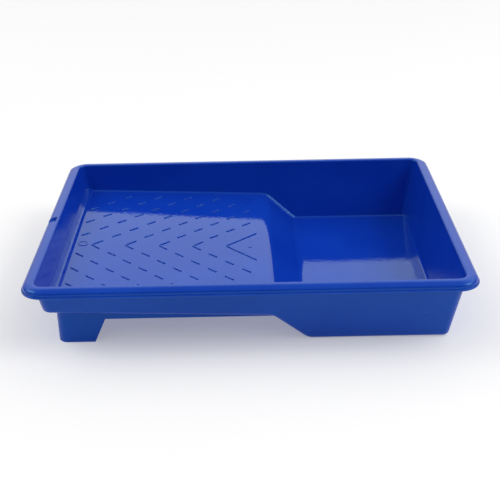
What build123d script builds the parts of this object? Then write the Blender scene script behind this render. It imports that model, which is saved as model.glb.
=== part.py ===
from build123d import *
import os
from math import atan2, cos, degrees, hypot, radians, sin, tan

# A paint roller tray: a shallow basin with a grip ramp at one end and a deep paint well at the other.
# Frame: X runs along the tray from the shallow end to the deep end, Y across it (front is -Y), Z up.
# The origin is on the ground under the middle of the rim.
# The real tray is one thin-walled moulding. Each node below is one region of it, and neighbours meet
# face to face, so the regions put together are the whole moulding with nothing counted twice.

# ---- driving dimensions: millimetres and degrees
LENGTH = 361.0
WIDTH = 280.0
HEIGHT = 58.7
WALL = 1.6
DRAFT = 11.8
DEEP_END_DRAFT = 10.0

RIM_WIDTH = 10.6
RIM_DROP = 6.6
RIM_CORNER_RADIUS = 18.5
RIM_INNER_RADIUS = 1.8
RIM_OUTER_RADIUS = 2.5
CROWN_START = 6.0
CROWN_END = -30.0
RIM_FLARE = 9.0
BEAD_OUT = 0.8
BEAD_HEIGHT = 1.8
BEAD_RADIUS = 0.6
LIP_RADIUS = 0.55

FOOT_RADIUS = 2.4
FOOT_CORNER_RADIUS = 4.0
WELL_FLOOR_Z = WALL
RAMP_SLOPE = 2.13
CREST_X = 17.8
CREST_Z = 26.3
CREST_RADIUS = 15.0
TOE_RADIUS = 11.0
TRANSITION_SLOPE = 40.65

LEDGE_Z = 36.0
LEDGE_END_X = -159.2
LEDGE_STEP_RUN = 1.5

REST_NOTCH_Y = -2.0
REST_NOTCH_RADIUS = 4.6
REST_NOTCH_DEPTH = 3.9
REST_NOTCH_STOP = 2.0

BAR_WIDTH = 1.4
BAR_HEIGHT = 0.8
BAR_LENGTH = 10.0
BAR_ANGLE = 41.0
BAR_CROWN = 0.6
PITCH_X = 30.0
PITCH_Y = 14.35
ROWS = 8
FIRST_ROW_Y = 5.05
EVEN_ROW_X = -137.8
OUTER_SHIFT_X = 1.76
OUTER_SHIFT_Y = 2.37
CHEVRON_APEX_X = -142.9
CHEVRON_PITCH = 30.4
CHEVRONS = 4
CHEVRON_Y = -1.0
CHEVRON_ARM = 11.0
CHEVRON_ANGLE = 45.0
CHEVRON_GAP = 2.8
ARROW_APEX_X = -21.3
ARROW_ARM = 38.5

EJECTOR_RINGS = ((-151.0, 1.0), (-2.5, -105.0), (-2.5, 105.0))
RING_DIAMETER = 9.3
RING_WIDTH = 0.9
RING_HEIGHT = 0.4
GATE_MARK_X = 0.6
GATE_MARK_DIAMETER = 3.0
GATE_MARK_HEIGHT = 0.35

SKIRT_Y = 117.0
SKIRT_X = -157.5
SKIRT_RADIUS = 8.0
SKIRT_BOTTOM_Z = 21.1
LEG_TOP_LENGTH = 40.0
LEG_CUT_ANGLE = 24.4
LEG_END_LENGTH = 34.0

# ---- construction: seams lie this far onto the flat beside a fillet, and cutting tools reach this far
SEAM_MARGIN = 0.4
FAR = 400.0

# ---- values worked out from them
LEAN = tan(radians(DRAFT))
DEEP_END_LEAN = tan(radians(DEEP_END_DRAFT))
FLARE_LEAN = tan(radians(RIM_FLARE))
JOINT_Z = HEIGHT - RIM_DROP
HALF_LENGTH = LENGTH / 2 - RIM_WIDTH
HALF_WIDTH = WIDTH / 2 - RIM_WIDTH
EDGE_RADIUS = RIM_CORNER_RADIUS - RIM_WIDTH
CORNER_RADIUS = EDGE_RADIUS - RIM_DROP * LEAN
FOOT_SETBACK = FOOT_RADIUS * tan(radians((90 - DRAFT) / 2)) + SEAM_MARGIN
RIM_FACE = RIM_WIDTH - BEAD_OUT
RAMP_FALL = tan(radians(RAMP_SLOPE))
TOE_X = CREST_X + (CREST_Z - WELL_FLOOR_Z) / tan(radians(TRANSITION_SLOPE))
CREST_SEAM_X = CREST_X - CREST_RADIUS * tan(radians(TRANSITION_SLOPE - RAMP_SLOPE) / 2) - SEAM_MARGIN
TOE_SEAM_X = TOE_X + TOE_RADIUS * tan(radians(TRANSITION_SLOPE) / 2) + SEAM_MARGIN


def shallow_x(z):
    """Inner face of the shallow end's wall, as an X value, at height z."""
    return (HEIGHT - z) * LEAN - HALF_LENGTH


def deep_x(z):
    """Inner face of the deep end's wall, as an X value, at height z."""
    return HALF_LENGTH - RIM_DROP * LEAN - (JOINT_Z - z) * DEEP_END_LEAN


def wall_y(z):
    """Inner face of a side wall, as a distance from the middle, at height z."""
    return HALF_WIDTH - (HEIGHT - z) * LEAN


def corner_radius(z):
    """Radius of the basin's inner corners at height z. They tighten evenly towards the foot."""
    return CORNER_RADIUS + (FOOT_CORNER_RADIUS - CORNER_RADIUS) * (JOINT_Z - z) / (JOINT_Z - WELL_FLOOR_Z)


def ramp_z(x):
    """Height of the ramp's upper face."""
    return CREST_Z + (CREST_X - x) * RAMP_FALL


def frustum(low_x, high_x, half_y, high, radius=None):
    """A drafted block up from below the ground. Its faces and its corner radius are functions of height."""
    ends = []
    for z in (-WALL, high):
        size = (high_x(z) - low_x(z), 2 * half_y(z))
        outline = RectangleRounded(*size, radius(z)) if radius else Rectangle(*size)
        ends.append(Pos((low_x(z) + high_x(z)) / 2, 0, z) * outline)
    return loft(ends, ruled=True)


def shifted(points, distance):
    """An open chain of points in the XZ plane, moved downwards by a constant distance."""
    lines = []
    for (x0, z0), (x1, z1) in zip(points, points[1:]):
        angle = atan2(z1 - z0, x1 - x0)
        lines.append((x0 + distance * sin(angle), z0 - distance * cos(angle), angle))
    moved = [lines[0][:2]]
    for (xa, za, a), (xb, zb, b) in zip(lines, lines[1:]):
        reach = ((xb - xa) * sin(b) - (zb - za) * cos(b)) / sin(b - a)
        moved.append((xa + reach * cos(a), za + reach * sin(a)))
    x1, z1 = points[-1]
    angle = lines[-1][2]
    moved.append((x1 + distance * sin(angle), z1 - distance * cos(angle)))
    return moved


def above_floor(depth):
    """Everything above the ramp, transition slope and well floor, or above a face that far under them."""
    floor_line = [(-FAR, ramp_z(-FAR)), (CREST_X, CREST_Z), (TOE_X, WELL_FLOOR_Z), (FAR, WELL_FLOOR_Z)]
    floor_line = shifted(floor_line, depth) if depth else floor_line
    crest, toe = floor_line[1], floor_line[2]
    outline = Polyline(*floor_line, (FAR, FAR), (-FAR, FAR), close=True)
    face = make_face(Plane.XZ * outline)
    crest_vertex = face.vertices().sort_by_distance((crest[0], 0, crest[1]))[0]
    face = fillet(crest_vertex, CREST_RADIUS - depth)
    toe_vertex = face.vertices().sort_by_distance((toe[0], 0, toe[1]))[0]
    face = fillet(toe_vertex, TOE_RADIUS + depth)
    return extrude(face, WIDTH, both=True)


def on_wall(point, run):
    """Whether a point lies on the drafted wall face around a basin, or on its outer face, run away from it."""
    radius = corner_radius(point.Z) + run
    to_end = min(deep_x(point.Z) + run - point.X, point.X - shallow_x(point.Z) + run)
    dx = radius - to_end
    dy = radius - (wall_y(point.Z) + run - abs(point.Y))
    reach = hypot(dx, dy) if dx > 0 and dy > 0 else max(dx, dy)
    return abs(reach - radius) < 0.05


def basin(depth):
    """The space inside the basin (depth 0), or the basin's outer form (depth WALL)."""
    run = depth / cos(radians(DRAFT))
    walls = frustum(
        lambda z: shallow_x(z) - run,
        lambda z: deep_x(z) + run,
        lambda z: wall_y(z) + run,
        JOINT_Z,
        lambda z: corner_radius(z) + run,
    )
    body = walls & above_floor(depth)
    foot = []
    for edge in body.edges():
        low_enough = edge.bounding_box().max.Z < JOINT_Z - 1
        if low_enough and on_wall(edge.position_at(0.5), run):
            foot.append(edge)
    return fillet(foot, FOOT_RADIUS + depth)


def floor_region():
    """A column over the flat of the ramp, slope and floor, up to where the foot fillet begins."""
    setback = FOOT_SETBACK
    top_z = ramp_z(shallow_x(LEDGE_Z))
    first_x = shallow_x(top_z) + setback
    last_x = deep_x(WELL_FLOOR_Z) - setback
    stations = [
        (first_x, wall_y(top_z) - setback),
        (CREST_X, wall_y(CREST_Z) - setback),
        (TOE_X, wall_y(WELL_FLOOR_Z) - setback),
        (last_x, wall_y(WELL_FLOOR_Z) - setback),
    ]
    mirrored = [(x, -y) for x, y in reversed(stations)]
    face = make_face(Polyline(*stations, *mirrored, close=True))
    face = fillet(face.vertices().sort_by(Axis.X)[:2], corner_radius(top_z) - setback)
    face = fillet(face.vertices().sort_by(Axis.X)[-2:], FOOT_CORNER_RADIUS - setback)
    return extrude(face, HEIGHT, both=True)


def band(low_x, high_x):
    """A slab of space between two X values."""
    return Pos((low_x + high_x) / 2, 0, 0) * Box(high_x - low_x, FAR, FAR)


def half_space(front):
    """The space on one side of the middle line: the front, -Y, or the back."""
    return Pos(0, (-1 if front else 1) * FAR / 2, 0) * Box(2 * FAR, FAR, FAR)


def basin_nodes():
    """The basin's floor, walls and corners."""
    shell = basin(WALL) - basin(0)
    floor = shell & floor_region()
    sides = shell - floor_region()
    x_span = frustum(
        lambda z: shallow_x(z) + corner_radius(z) + SEAM_MARGIN,
        lambda z: deep_x(z) - corner_radius(z) - SEAM_MARGIN,
        lambda z: FAR,
        HEIGHT,
    )
    y_span = frustum(
        lambda z: -FAR,
        lambda z: FAR,
        lambda z: wall_y(z) - corner_radius(z) - SEAM_MARGIN,
        HEIGHT,
    )
    nodes = {
        "ramp_panel": floor & band(-FAR, CREST_SEAM_X),
        "transition_slope": floor & band(CREST_SEAM_X, TOE_SEAM_X),
        "well_floor": floor & band(TOE_SEAM_X, FAR),
    }
    side_walls = sides & x_span
    end_walls = sides & y_span
    corners = sides - x_span - y_span
    nodes["wall_shallow_end"] = end_walls & band(-FAR, 0)
    nodes["wall_deep_end"] = end_walls & band(0, FAR)
    for side, front in (("front", True), ("back", False)):
        wall = side_walls & half_space(front)
        nodes[f"wall_{side}_shallow"] = wall & band(-FAR, CREST_SEAM_X)
        nodes[f"wall_{side}_deep"] = wall & band(CREST_SEAM_X, FAR)
        corner = corners & half_space(front)
        nodes[f"wall_corner_{side}_shallow"] = corner & band(-FAR, 0)
        nodes[f"wall_corner_{side}_deep"] = corner & band(0, FAR)
    return nodes


def ledge():
    """The low shelf across the shallow end, filling the basin from the ramp up to its flat top."""
    step_x = LEDGE_END_X + LEDGE_STEP_RUN
    outline = Polyline(
        (-FAR, 0), (-FAR, LEDGE_Z), (LEDGE_END_X, LEDGE_Z), (step_x, ramp_z(step_x)), (step_x, 0), close=True
    )
    return basin(0) & extrude(make_face(Plane.XZ * outline), WIDTH, both=True)


def turn(start, heading, radius, end_heading):
    """The end point of a clockwise arc, and its middle point, in the rim's section."""
    points = []
    for target in ((heading + end_heading) / 2, end_heading):
        du = radius * (sin(radians(heading)) - sin(radians(target)))
        dz = radius * (cos(radians(target)) - cos(radians(heading)))
        points.append((start[0] + du, start[1] + dz))
    return points


def rim_arcs(crown):
    """The three arcs over the rim, as points: a start, then a middle and an end for each arc."""
    inner_climb = RIM_INNER_RADIUS * (cos(radians(CROWN_START)) - cos(radians(90 - DRAFT)))
    drop = inner_climb + crown * (1 - cos(radians(CROWN_START)))
    points = [(-drop * LEAN, HEIGHT - drop)]
    heading = 90 - DRAFT
    for radius, end_heading in (
        (RIM_INNER_RADIUS, CROWN_START),
        (crown, CROWN_END),
        (RIM_OUTER_RADIUS, RIM_FLARE - 90),
    ):
        points += turn(points[-1], heading, radius, end_heading)
        heading = end_heading
    return points


def rim_reach(crown, bottom_z=JOINT_Z):
    """How far out the rim's flared outer face comes at bottom_z, for a crown arc of this radius."""
    end_u, end_z = rim_arcs(crown)[-1]
    return end_u + (end_z - bottom_z) * FLARE_LEAN


def crown_radius():
    """The crown arc's radius, which puts the foot of the rim's outer face where the bead begins."""
    without = rim_reach(0)
    return (RIM_FACE - without) / (rim_reach(1) - without)


def rim_outline(bottom_z):
    """The rolled rim's filled section down to bottom_z. The first coordinate runs outwards from the basin."""
    crown = crown_radius()
    arcs = rim_arcs(crown)
    inner_foot = (-(HEIGHT - bottom_z) * LEAN, bottom_z)
    outer_foot = (rim_reach(crown, bottom_z), bottom_z)
    lines = [Line(inner_foot, arcs[0])]
    for index in (0, 2, 4):
        lines.append(ThreePointArc(*arcs[index:index + 3]))
    lines.append(Line(arcs[-1], outer_foot))
    lines.append(Line(outer_foot, inner_foot))
    return make_face(lines)


def rim_section():
    """The rolled rim's section: a hook of constant thickness, open underneath, with a beaded lip."""
    below = JOINT_Z - 3 * WALL
    window = Pos(0, JOINT_Z + FAR / 2) * Rectangle(FAR, FAR)
    channel = offset(rim_outline(below), -WALL, kind=Kind.INTERSECTION) & window
    hook = rim_outline(JOINT_Z) - channel
    bead_width = BEAD_OUT + WALL / 2
    bead = Pos(RIM_WIDTH - bead_width / 2, JOINT_Z + BEAD_HEIGHT / 2) * Rectangle(bead_width, BEAD_HEIGHT)
    hook += bead
    lip = [v for v in hook.vertices() if abs(v.Y - JOINT_Z) < 0.01 and RIM_WIDTH / 2 < v.X < RIM_FACE]
    hook = fillet(lip, LIP_RADIUS)
    return fillet([v for v in hook.vertices() if v.X > RIM_WIDTH - 0.01], BEAD_RADIUS)


def upright(x_dir, origin):
    """A plane standing on the ground: its first axis is x_dir and its second is straight up."""
    return Plane(origin=origin, x_dir=x_dir, z_dir=Vector(*x_dir).cross(Vector(0, 0, 1)))


def run_of(section, x_dir, origin, half_run):
    """A straight run of the rim, pushed both ways from the middle of its side."""
    return extrude(upright(x_dir, origin) * section, half_run, both=True)


def rim_corner(section):
    """The corner of the rim at the deep end and the back: the section turned through a quarter circle."""
    centre = (HALF_LENGTH - EDGE_RADIUS, HALF_WIDTH - EDGE_RADIUS, 0)
    face = upright((1, 0, 0), centre) * (Pos(EDGE_RADIUS, 0) * section)
    return revolve(face, Axis(centre, (0, 0, 1)), 90)


def rest_notch(run, filled_run):
    """Presses a round-bottomed notch across the shallow end of the rim, for the roller's handle."""
    end_x = -HALF_LENGTH - REST_NOTCH_STOP
    height = HEIGHT - REST_NOTCH_DEPTH + REST_NOTCH_RADIUS
    along_x = Pos(end_x - LENGTH / 2, REST_NOTCH_Y, height) * Rot(0, 90, 0)
    saddle = along_x * Cylinder(REST_NOTCH_RADIUS + WALL, LENGTH + 2 * WALL)
    groove = along_x * Cylinder(REST_NOTCH_RADIUS, LENGTH)
    return run + (saddle & filled_run) - groove


def rim_nodes():
    """The rolled rim: four straight runs and four corners."""
    section = rim_section()
    half_x = HALF_LENGTH - EDGE_RADIUS
    half_y = HALF_WIDTH - EDGE_RADIUS
    front = run_of(section, (0, -1, 0), (0, -HALF_WIDTH, 0), half_x)
    deep = run_of(section, (1, 0, 0), (HALF_LENGTH, 0, 0), half_y)
    shallow_side = ((-1, 0, 0), (-HALF_LENGTH, 0, 0), half_y)
    shallow = run_of(section, *shallow_side)
    corner = rim_corner(section)
    return {
        "rim_front": front,
        "rim_back": mirror(front, Plane.XZ),
        "rim_deep_end": deep,
        "rim_shallow_end": rest_notch(shallow, run_of(rim_outline(JOINT_Z), *shallow_side)),
        "rim_corner_back_deep": corner,
        "rim_corner_front_deep": mirror(corner, Plane.XZ),
        "rim_corner_back_shallow": mirror(corner, Plane.YZ),
        "rim_corner_front_shallow": mirror(mirror(corner, Plane.YZ), Plane.XZ),
    }


def on_ramp(x, y, angle=0.0):
    """A place on the ramp's upper face, turned by an angle in that face."""
    tilt = radians(RAMP_SLOPE)
    plane = Plane(origin=(x, y, ramp_z(x)), x_dir=(cos(tilt), 0, -sin(tilt)), z_dir=(sin(tilt), 0, cos(tilt)))
    return plane.location * Rot(0, 0, angle)


def bar(length):
    """One raised grip bar with round ends and a crowned top, standing on its base."""
    body = extrude(SlotOverall(length, BAR_WIDTH), BAR_HEIGHT)
    return fillet(body.edges().group_by(Axis.Z)[-1], BAR_CROWN)


def short_bars():
    """The staggered lattice of short bars, in rows on both sides of the middle line."""
    short = bar(BAR_LENGTH)
    bars = []
    for row in range(1, ROWS):
        odd = row % 2
        first_x = EVEN_ROW_X - odd * PITCH_X / 2
        count = 5 if row == 1 or not odd else 6
        last_row = row == ROWS - 1
        columns = range(1, count - 1) if last_row else range(count)
        for column in columns:
            outer = column <= (row - 1) // 2
            x = first_x + column * PITCH_X + outer * OUTER_SHIFT_X
            y = FIRST_ROW_Y + row * PITCH_Y + outer * OUTER_SHIFT_Y
            for side in (1, -1):
                bars.append(on_ramp(x, side * y, side * BAR_ANGLE) * short)
    return bars


def chevron(apex_x, apex_y, arm_length, gap):
    """Two bars that open towards the well. The back one starts a little after the apex."""
    arm = bar(arm_length)
    x = apex_x + arm_length / 2 * cos(radians(CHEVRON_ANGLE))
    y = arm_length / 2 * sin(radians(CHEVRON_ANGLE))
    back = on_ramp(x + gap, apex_y + y + gap, CHEVRON_ANGLE)
    front = on_ramp(x, apex_y - y, -CHEVRON_ANGLE)
    return [back * arm, front * arm]


def grip_bars():
    """Every raised bar on the ramp, as separate solids standing on it."""
    bars = short_bars()
    for index in range(CHEVRONS):
        apex_x = CHEVRON_APEX_X + index * CHEVRON_PITCH
        bars += chevron(apex_x, CHEVRON_Y, CHEVRON_ARM, CHEVRON_GAP / 2)
    bars += chevron(ARROW_APEX_X, 0, ARROW_ARM, BAR_WIDTH / 2)
    return bars


def witness_marks():
    """The low marks that the mould's ejector pins (rings) and gate (a dot) leave on the ramp."""
    sunk = Pos(0, 0, -WALL / 2)
    ring = Circle(RING_DIAMETER / 2) - Circle(RING_DIAMETER / 2 - RING_WIDTH)
    ring = sunk * extrude(ring, RING_HEIGHT + WALL / 2)
    dot = sunk * extrude(Circle(GATE_MARK_DIAMETER / 2), GATE_MARK_HEIGHT + WALL / 2)
    marks = [on_ramp(x, y) * ring for x, y in EJECTOR_RINGS]
    marks.append(on_ramp(GATE_MARK_X, CHEVRON_Y) * dot)
    return marks


def skirt_ring():
    """The stiffening skirt under the ramp as a closed, full-height band with rounded corners."""
    length = 2 * (FAR - abs(SKIRT_X))
    centre = Pos(SKIRT_X + length / 2, 0)
    outer = centre * RectangleRounded(length, 2 * SKIRT_Y, SKIRT_RADIUS)
    inner = centre * RectangleRounded(length - 2 * WALL, 2 * (SKIRT_Y - WALL), SKIRT_RADIUS - WALL)
    return extrude(outer - inner, LEDGE_Z)


def leg_region():
    """The corners of the skirt that reach the ground as legs. Both sides of a leg end in a slanted cut."""
    inset = SKIRT_BOTTOM_Z * tan(radians(LEG_CUT_ANGLE))
    top_x = SKIRT_X + LEG_TOP_LENGTH
    along = Polyline(
        (-FAR, 0), (top_x - inset, 0), (top_x, SKIRT_BOTTOM_Z), (top_x, LEDGE_Z), (-FAR, LEDGE_Z), close=True
    )
    top_y = SKIRT_Y - LEG_END_LENGTH
    across = Polyline(
        (FAR, 0), (top_y + inset, 0), (top_y, SKIRT_BOTTOM_Z), (top_y, LEDGE_Z), (FAR, LEDGE_Z), close=True
    )
    back = extrude(make_face(Plane.YZ * across), FAR, both=True)
    lengthwise = extrude(make_face(Plane.XZ * along), FAR, both=True)
    return lengthwise & (back + mirror(back, Plane.XZ))


def skirt_nodes():
    """What stands under the ramp: a leg at each corner of the shallow end, and the rails between them."""
    skirt = skirt_ring() - basin(WALL)
    legs = skirt & leg_region()
    high = Pos(0, 0, SKIRT_BOTTOM_Z + FAR / 2) * Box(2 * FAR, 2 * FAR, FAR)
    rails = (skirt & high & band(-FAR, TOE_X)) - leg_region()
    leg_top_x = SKIRT_X + LEG_TOP_LENGTH
    side_rails = rails & band(leg_top_x - 1, FAR)
    return {
        "leg_front": legs & half_space(True),
        "leg_back": legs & half_space(False),
        "rail_front": side_rails & half_space(True),
        "rail_back": side_rails & half_space(False),
        "rail_shallow_end": rails & band(-FAR, leg_top_x - 1),
    }


def tray():
    """Every node of the tray, by name."""
    nodes = basin_nodes()
    for mark in witness_marks():
        nodes["ramp_panel"] += mark
    nodes["ramp_ledge"] = ledge()
    nodes["ramp_grip_bars"] = grip_bars()
    nodes.update(rim_nodes())
    nodes.update(skirt_nodes())
    return nodes


os.makedirs("parts", exist_ok=True)
for name, shape in tray().items():
    solids = shape if isinstance(shape, list) else shape.solids()
    export_step(Compound(solids), f"parts/{name}.step")
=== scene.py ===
import math

import bpy
from mathutils import Matrix, Vector

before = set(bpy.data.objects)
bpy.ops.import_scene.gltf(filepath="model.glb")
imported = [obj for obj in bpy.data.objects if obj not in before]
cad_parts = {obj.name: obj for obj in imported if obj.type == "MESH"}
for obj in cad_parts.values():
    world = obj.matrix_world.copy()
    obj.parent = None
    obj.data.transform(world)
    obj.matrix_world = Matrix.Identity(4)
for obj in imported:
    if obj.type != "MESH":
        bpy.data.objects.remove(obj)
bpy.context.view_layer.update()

# ---- camera, in metres and degrees
CAMERA_LENS = 72.0
CAMERA_SENSOR = 36.0
CAMERA_REACH = 50.0
CAMERA_DISTANCE = 0.9104
CAMERA_ELEVATION = 26.07
CAMERA_ROLL = -1.14
TARGET = (0.00028, 0.0, 0.0232)

# ---- studio light: brightness of the surround at these heights (the sine of the elevation) on four sides
SKY_STRENGTH = 2.5
SKY_HEIGHTS = (0.0, 0.34, 0.64, 0.87)
SKY = {
    "back": (0.66, 1.15, 1.3, 0.4),
    "front": (0.0, 0.0, 0.4, 0.5),
    "left": (0.0, 0.0, 1.7, 0.9),
    "right": (0.0, 0.1, 1.6, 1.2),
}
ZENITH = 0.45
SOFTBOX_SIZE = 1.2
SOFTBOX_POWER = {"left": 8.0, "right": 17.0}
SOFTBOX_PLACE = {"left": (-1.7, 0.2, 1.6), "right": (1.8, -0.5, 1.64)}

# ---- the table
FLOOR_SIZE = 8.0
FLOOR_COLOR = (0.71, 0.71, 0.71)
FLOOR_COLOR_SHIFT = (0.73, 0.73, 0.73)
FLOOR_GRAIN_SCALE = 3.0
FLOOR_ROUGHNESS = 0.9
FLOOR_SPECULAR = 0.1
FLOOR_GLOW = 0.28

# ---- the tray's plastic
PLASTIC_COLOR = (0.003, 0.037, 0.43)
PLASTIC_COLOR_SHIFT = (0.004, 0.044, 0.455)
REFLECTION_TINT = (0.32, 1.0, 1.0, 1.0)
PLASTIC_IOR = 1.49
CLOUD_SCALE = 14.0
FACING_UP = (0.45, 0.8)
HANDLING_SCALE = 45.0
POLISHED_ROUGHNESS = (0.045, 0.085)
SATIN_ROUGHNESS = (0.17, 0.25)
SCUFF_STRETCH = (30.0, 420.0, 420.0)
SCUFF_LEVELS = (0.66, 0.74)
SCUFF_ROUGHNESS = 0.05
SWELL_SCALE = 22.0
SWELL_HEIGHT = 0.00015
RIPPLE_SCALE = 280.0
RIPPLE_HEIGHT = 0.00005
DRAG_STRETCH = (900.0, 900.0, 25.0)
DRAG_HEIGHT = 0.000012
RAMP_MIDDLE_Z = 0.030
RAMP_HALF_RISE = 0.004
FLOW_LINE_SLOPE = (0.852, 0.523)
FLOW_LINE_OFFSET = 0.0598
FLOW_LINE_WANDER = 0.006
FLOW_LINE_WANDER_SCALE = 60.0
FLOW_LINE_FADE_SCALE = 35.0
FLOW_LINE_WIDTH = 0.0014
FLOW_LINE_HEIGHT = 0.00006
FLOW_LINE_END = (-0.03, 0.0)


def camera():
    """A long lens on the tray's long side, looking down at it."""
    data = bpy.data.cameras.new("camera")
    data.lens = CAMERA_LENS
    data.sensor_width = CAMERA_SENSOR
    data.clip_end = CAMERA_REACH
    cam = bpy.data.objects.new("camera", data)
    pitch = math.radians(CAMERA_ELEVATION)
    forward = Vector((0.0, math.cos(pitch), -math.sin(pitch)))
    aim = Matrix.Rotation(math.radians(90.0 - CAMERA_ELEVATION), 4, "X")
    aim @= Matrix.Rotation(math.radians(CAMERA_ROLL), 4, "Z")
    cam.matrix_world = Matrix.Translation(Vector(TARGET) - forward * CAMERA_DISTANCE) @ aim
    bpy.context.scene.collection.objects.link(cam)
    bpy.context.scene.camera = cam


class Tree:
    """Short names for building a node tree."""

    def __init__(self, owner):
        owner.use_nodes = True
        self.nodes = owner.node_tree.nodes
        self.links = owner.node_tree.links

    def feed(self, socket, value):
        if isinstance(value, bpy.types.NodeSocket):
            self.links.new(value, socket)
        else:
            socket.default_value = value

    def math(self, operation, *values):
        node = self.nodes.new("ShaderNodeMath")
        node.operation = operation
        for socket, value in zip(node.inputs, values):
            self.feed(socket, value)
        return node.outputs[0]

    def remap(self, value, low, high, to_low, to_high):
        node = self.nodes.new("ShaderNodeMapRange")
        node.interpolation_type = "SMOOTHSTEP"
        for socket, item in zip(node.inputs, (value, low, high, to_low, to_high)):
            self.feed(socket, item)
        return node.outputs[0]

    def blend(self, factor, first, second):
        node = self.nodes.new("ShaderNodeMix")
        node.data_type = "RGBA"
        self.feed(node.inputs["Factor"], factor)
        self.feed(node.inputs["A"], first)
        self.feed(node.inputs["B"], second)
        return node.outputs["Result"]

    def split(self, vector):
        node = self.nodes.new("ShaderNodeSeparateXYZ")
        self.feed(node.inputs[0], vector)
        return node.outputs

    def stretched(self, vector, scale):
        node = self.nodes.new("ShaderNodeMapping")
        self.feed(node.inputs["Vector"], vector)
        node.inputs["Scale"].default_value = scale
        return node.outputs[0]

    def noise(self, vector, scale, detail=2.0, roughness=0.5):
        node = self.nodes.new("ShaderNodeTexNoise")
        self.feed(node.inputs["Vector"], vector)
        node.inputs["Scale"].default_value = scale
        node.inputs["Detail"].default_value = detail
        node.inputs["Roughness"].default_value = roughness
        return node.outputs["Fac"]

    def bump(self, height, distance, strength=1.0, normal=None):
        node = self.nodes.new("ShaderNodeBump")
        self.feed(node.inputs["Height"], height)
        self.feed(node.inputs["Strength"], strength)
        node.inputs["Distance"].default_value = distance
        if normal is not None:
            self.feed(node.inputs["Normal"], normal)
        return node.outputs[0]


def surround():
    """A smooth studio surround: bright behind the tray and high up at its ends, and dim in front of it."""
    world = bpy.data.worlds.new("studio")
    bpy.context.scene.world = world
    tree = Tree(world)
    direction = tree.nodes.new("ShaderNodeTexCoord").outputs["Generated"]
    x, y, z = tree.split(direction)
    flat = tree.math("MAXIMUM", tree.math("SUBTRACT", 1.0, tree.math("MULTIPLY", z, z)), 0.0001)
    total = None
    for side, axis, sign in (("back", y, 1), ("front", y, -1), ("right", x, 1), ("left", x, -1)):
        toward = tree.math("MAXIMUM", tree.math("MULTIPLY", axis, float(sign)), 0.0)
        share = tree.math("DIVIDE", tree.math("MULTIPLY", toward, toward), flat)
        ramp = tree.nodes.new("ShaderNodeValToRGB")
        stops = ramp.color_ramp.elements
        levels = (*SKY[side], ZENITH)
        heights = (*SKY_HEIGHTS, 1.0)
        while len(stops) < len(levels):
            stops.new(0.5)
        for stop, height, level in zip(stops, heights, levels):
            stop.position = height
            value = level / SKY_STRENGTH
            stop.color = (value, value, value, 1.0)
        tree.feed(ramp.inputs[0], z)
        part = tree.math("MULTIPLY", share, ramp.outputs[0])
        total = part if total is None else tree.math("ADD", total, part)
    background = tree.nodes["Background"]
    tree.feed(background.inputs["Color"], total)
    background.inputs["Strength"].default_value = SKY_STRENGTH


def softbox(side):
    """A broad square softbox beyond one end of the tray, turned towards it."""
    place = Vector(SOFTBOX_PLACE[side])
    data = bpy.data.lights.new(f"softbox_{side}", "AREA")
    data.shape = "RECTANGLE"
    data.size = SOFTBOX_SIZE
    data.size_y = SOFTBOX_SIZE
    data.energy = SOFTBOX_POWER[side]
    light = bpy.data.objects.new(f"softbox_{side}", data)
    light.location = place
    light.rotation_euler = (-place).to_track_quat("-Z", "Y").to_euler()
    bpy.context.scene.collection.objects.link(light)


def flow_line(tree, place):
    """The faint wavy line on the ramp where two fronts of molten plastic met. It fades in and out,
    and ends towards the front of the tray."""
    x, y, z = tree.split(place)
    along_x = tree.math("MULTIPLY", x, FLOW_LINE_SLOPE[0])
    across = tree.math("ADD", along_x, tree.math("MULTIPLY", y, FLOW_LINE_SLOPE[1]))
    waves = tree.noise(place, FLOW_LINE_WANDER_SCALE, 3.0)
    wander = tree.math("MULTIPLY_ADD", waves, FLOW_LINE_WANDER, FLOW_LINE_OFFSET)
    distance = tree.math("ABSOLUTE", tree.math("ADD", across, wander))
    line = tree.remap(distance, 0.0, FLOW_LINE_WIDTH, 1.0, 0.0)
    from_middle = tree.math("ABSOLUTE", tree.math("SUBTRACT", z, RAMP_MIDDLE_Z))
    on_ramp = tree.math("LESS_THAN", from_middle, RAMP_HALF_RISE)
    fade = tree.remap(tree.noise(place, FLOW_LINE_FADE_SCALE, 1.0), 0.35, 0.6, 0.2, 1.0)
    reach = tree.remap(y, *FLOW_LINE_END, 0.0, 1.0)
    return tree.math("MULTIPLY", tree.math("MULTIPLY", line, on_ramp), tree.math("MULTIPLY", fade, reach))


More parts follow.
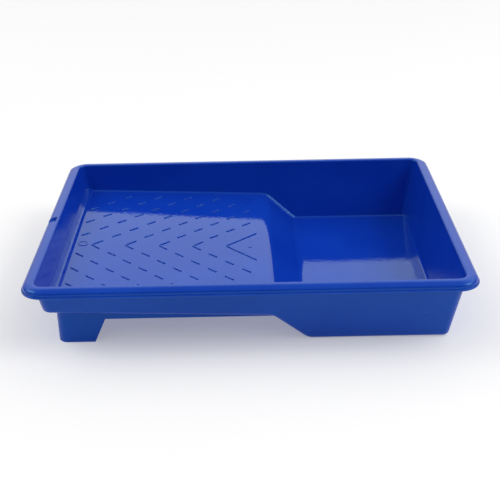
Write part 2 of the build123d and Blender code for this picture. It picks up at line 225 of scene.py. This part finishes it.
def plastic():
    """Glossy moulded polypropylene: polished where it faces up or down, more satin on the drafted walls."""
    mat = bpy.data.materials.new("blue_plastic")
    tree = Tree(mat)
    bsdf = tree.nodes["Principled BSDF"]
    place = tree.nodes.new("ShaderNodeTexCoord").outputs["Object"]
    normal = tree.nodes.new("ShaderNodeNewGeometry").outputs["Normal"]
    upward = tree.remap(tree.math("ABSOLUTE", tree.split(normal)[2]), *FACING_UP, 0.0, 1.0)

    cloud = tree.noise(place, CLOUD_SCALE, 3.0)
    tint = tree.remap(cloud, 0.35, 0.65, 0.0, 1.0)
    color = tree.blend(tint, (*PLASTIC_COLOR, 1.0), (*PLASTIC_COLOR_SHIFT, 1.0))
    tree.feed(bsdf.inputs["Base Color"], color)
    bsdf.inputs["Specular Tint"].default_value = REFLECTION_TINT
    bsdf.inputs["IOR"].default_value = PLASTIC_IOR

    handling = tree.noise(place, HANDLING_SCALE, 4.0, 0.6)
    polished = tree.remap(handling, 0.35, 0.7, *POLISHED_ROUGHNESS)
    satin = tree.remap(handling, 0.35, 0.7, *SATIN_ROUGHNESS)
    gap = tree.math("SUBTRACT", polished, satin)
    base = tree.math("MULTIPLY_ADD", upward, gap, satin)

    scuffs = tree.noise(tree.stretched(place, SCUFF_STRETCH), 1.0, 3.0, 0.65)
    wear = tree.remap(scuffs, *SCUFF_LEVELS, 0.0, SCUFF_ROUGHNESS)
    tree.feed(bsdf.inputs["Roughness"], tree.math("ADD", base, wear))

    swell = tree.bump(tree.noise(place, SWELL_SCALE, 1.0), SWELL_HEIGHT)
    swell = tree.bump(flow_line(tree, place), FLOW_LINE_HEIGHT, normal=swell)
    ripple = tree.bump(tree.noise(place, RIPPLE_SCALE, 1.5), RIPPLE_HEIGHT, normal=swell)
    drag = tree.noise(tree.stretched(place, DRAG_STRETCH), 1.0, 2.0)
    sideways = tree.math("SUBTRACT", 1.0, upward)
    tree.feed(bsdf.inputs["Normal"], tree.bump(drag, DRAG_HEIGHT, sideways, ripple))
    return mat


def floor():
    """The pale table that the tray stands on, lit a little from inside so that shadows stay faint."""
    bpy.ops.mesh.primitive_plane_add(size=FLOOR_SIZE)
    obj = bpy.context.object
    obj.name = "floor"
    mat = bpy.data.materials.new("floor")
    tree = Tree(mat)
    bsdf = tree.nodes["Principled BSDF"]
    place = tree.nodes.new("ShaderNodeTexCoord").outputs["Object"]
    grain = tree.noise(place, FLOOR_GRAIN_SCALE, 3.0)
    color = tree.blend(grain, (*FLOOR_COLOR, 1.0), (*FLOOR_COLOR_SHIFT, 1.0))
    tree.feed(bsdf.inputs["Base Color"], color)
    bsdf.inputs["Roughness"].default_value = FLOOR_ROUGHNESS
    bsdf.inputs["Specular IOR Level"].default_value = FLOOR_SPECULAR
    bsdf.inputs["Emission Color"].default_value = (1.0, 1.0, 1.0, 1.0)
    bsdf.inputs["Emission Strength"].default_value = FLOOR_GLOW
    obj.data.materials.append(mat)


camera()
surround()
floor()
for side in SOFTBOX_PLACE:
    softbox(side)

skin = plastic()
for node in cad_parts.values():
    node.data.materials.clear()
    node.data.materials.append(skin)

bpy.context.scene.view_settings.view_transform = "Standard"
